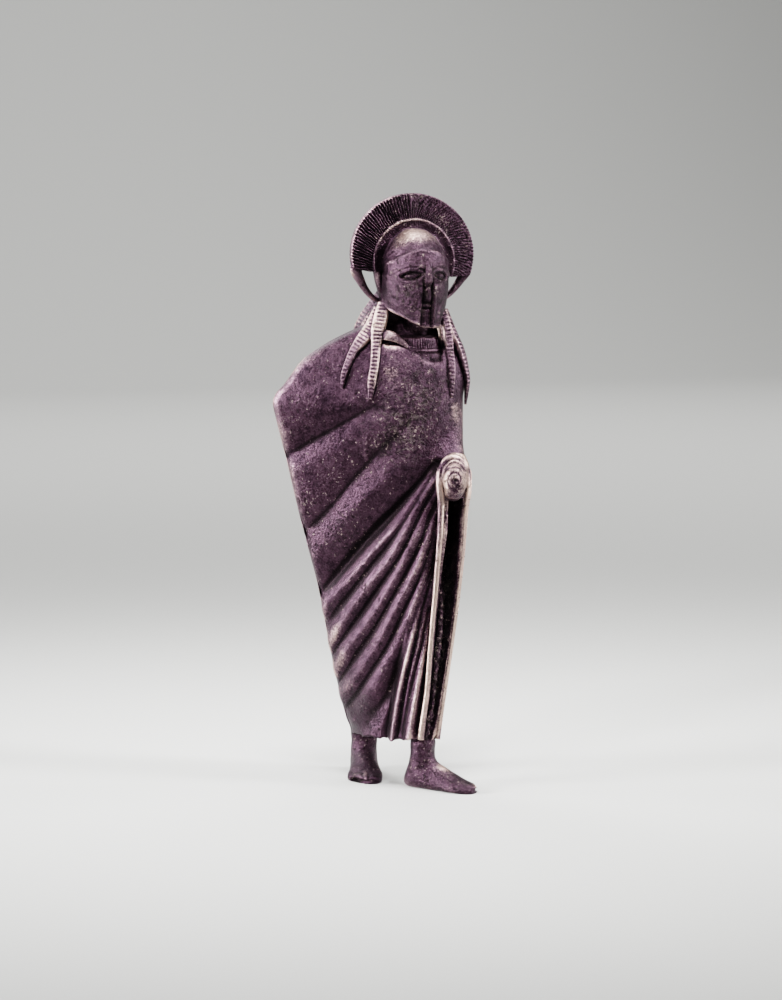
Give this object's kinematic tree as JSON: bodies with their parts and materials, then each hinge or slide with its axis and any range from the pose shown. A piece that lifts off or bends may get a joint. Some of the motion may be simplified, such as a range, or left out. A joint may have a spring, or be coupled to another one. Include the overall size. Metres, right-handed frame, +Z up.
{
  "type": "standing draped warrior statuette",
  "caption": "Small solid-cast bronze statuette of a standing warrior in a closed crested helmet, wrapped in a folded cloak held at the left hand.",
  "frame": {"origin": "centre of the bounding box in plan, at the level of the soles", "axes": "+Z up along the standing figure, -Y the way the head and chest face, +X towards the figure's left hand"},
  "size_m": [0.0506, 0.0408, 0.151],
  "materials": {
    "bronze": "dark violet-brown patina with worn bright ridges and pitted corrosion"
  },
  "bodies": {
    "root": {"draped_warrior_statuette": "bronze"}
  },
  "joints": []
}
